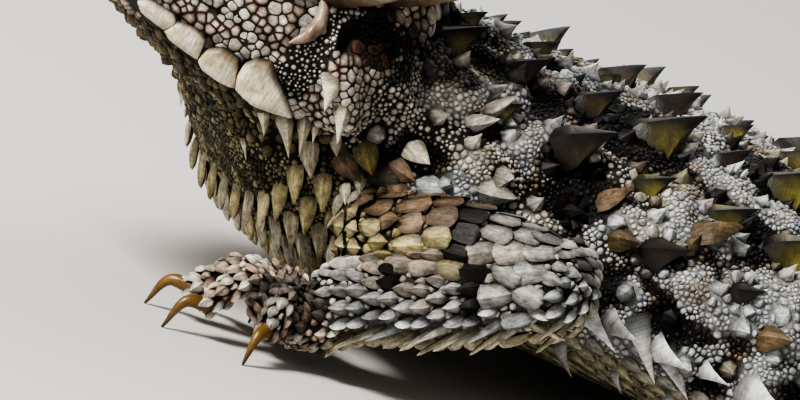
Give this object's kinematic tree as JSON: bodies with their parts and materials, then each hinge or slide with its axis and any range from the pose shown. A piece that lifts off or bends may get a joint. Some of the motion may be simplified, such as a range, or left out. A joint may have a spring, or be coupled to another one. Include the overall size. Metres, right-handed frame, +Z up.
{
  "type": "horned lizard",
  "caption": "Life-size still model of a horned lizard resting on its belly with its head raised, with jaw shields, head horns and spined scales.",
  "frame": {"origin": "middle of the model's bounding box, on the floor it rests on", "axes": "+X from the snout towards the tail, +Y towards the animal's right side, +Z up"},
  "size_m": [0.1358, 0.0816, 0.0303],
  "materials": {
    "scaled_skin": "dry keeled scales, bluish white and straw over near-black skin, with black-brown blotches",
    "horn": "satin horn, olive brown at the base and darker at the tip",
    "eye": "wet and glossy, golden brown round a dark pupil"
  },
  "bodies": {
    "root": {"head": "scaled_skin", "neck": "scaled_skin", "torso": "scaled_skin", "tail_base": "scaled_skin", "tail_tip": "scaled_skin", "upper_arm_left": "scaled_skin", "forearm_left": "scaled_skin", "hand_left": "scaled_skin", "thigh_left": "scaled_skin", "shin_left": "scaled_skin", "foot_left": "scaled_skin", "upper_arm_right": "scaled_skin", "forearm_right": "scaled_skin", "hand_right": "scaled_skin", "thigh_right": "scaled_skin", "shin_right": "scaled_skin", "foot_right": "scaled_skin", "eye_left": "eye", "eye_right": "eye", "horn_occipital_left": "horn", "horn_occipital_right": "horn", "horn_temporal_inner_left": "horn", "horn_temporal_inner_right": "horn", "horn_temporal_middle_left": "horn", "horn_temporal_middle_right": "horn", "horn_temporal_outer_left": "horn", "horn_temporal_outer_right": "horn"}
  },
  "joints": []
}
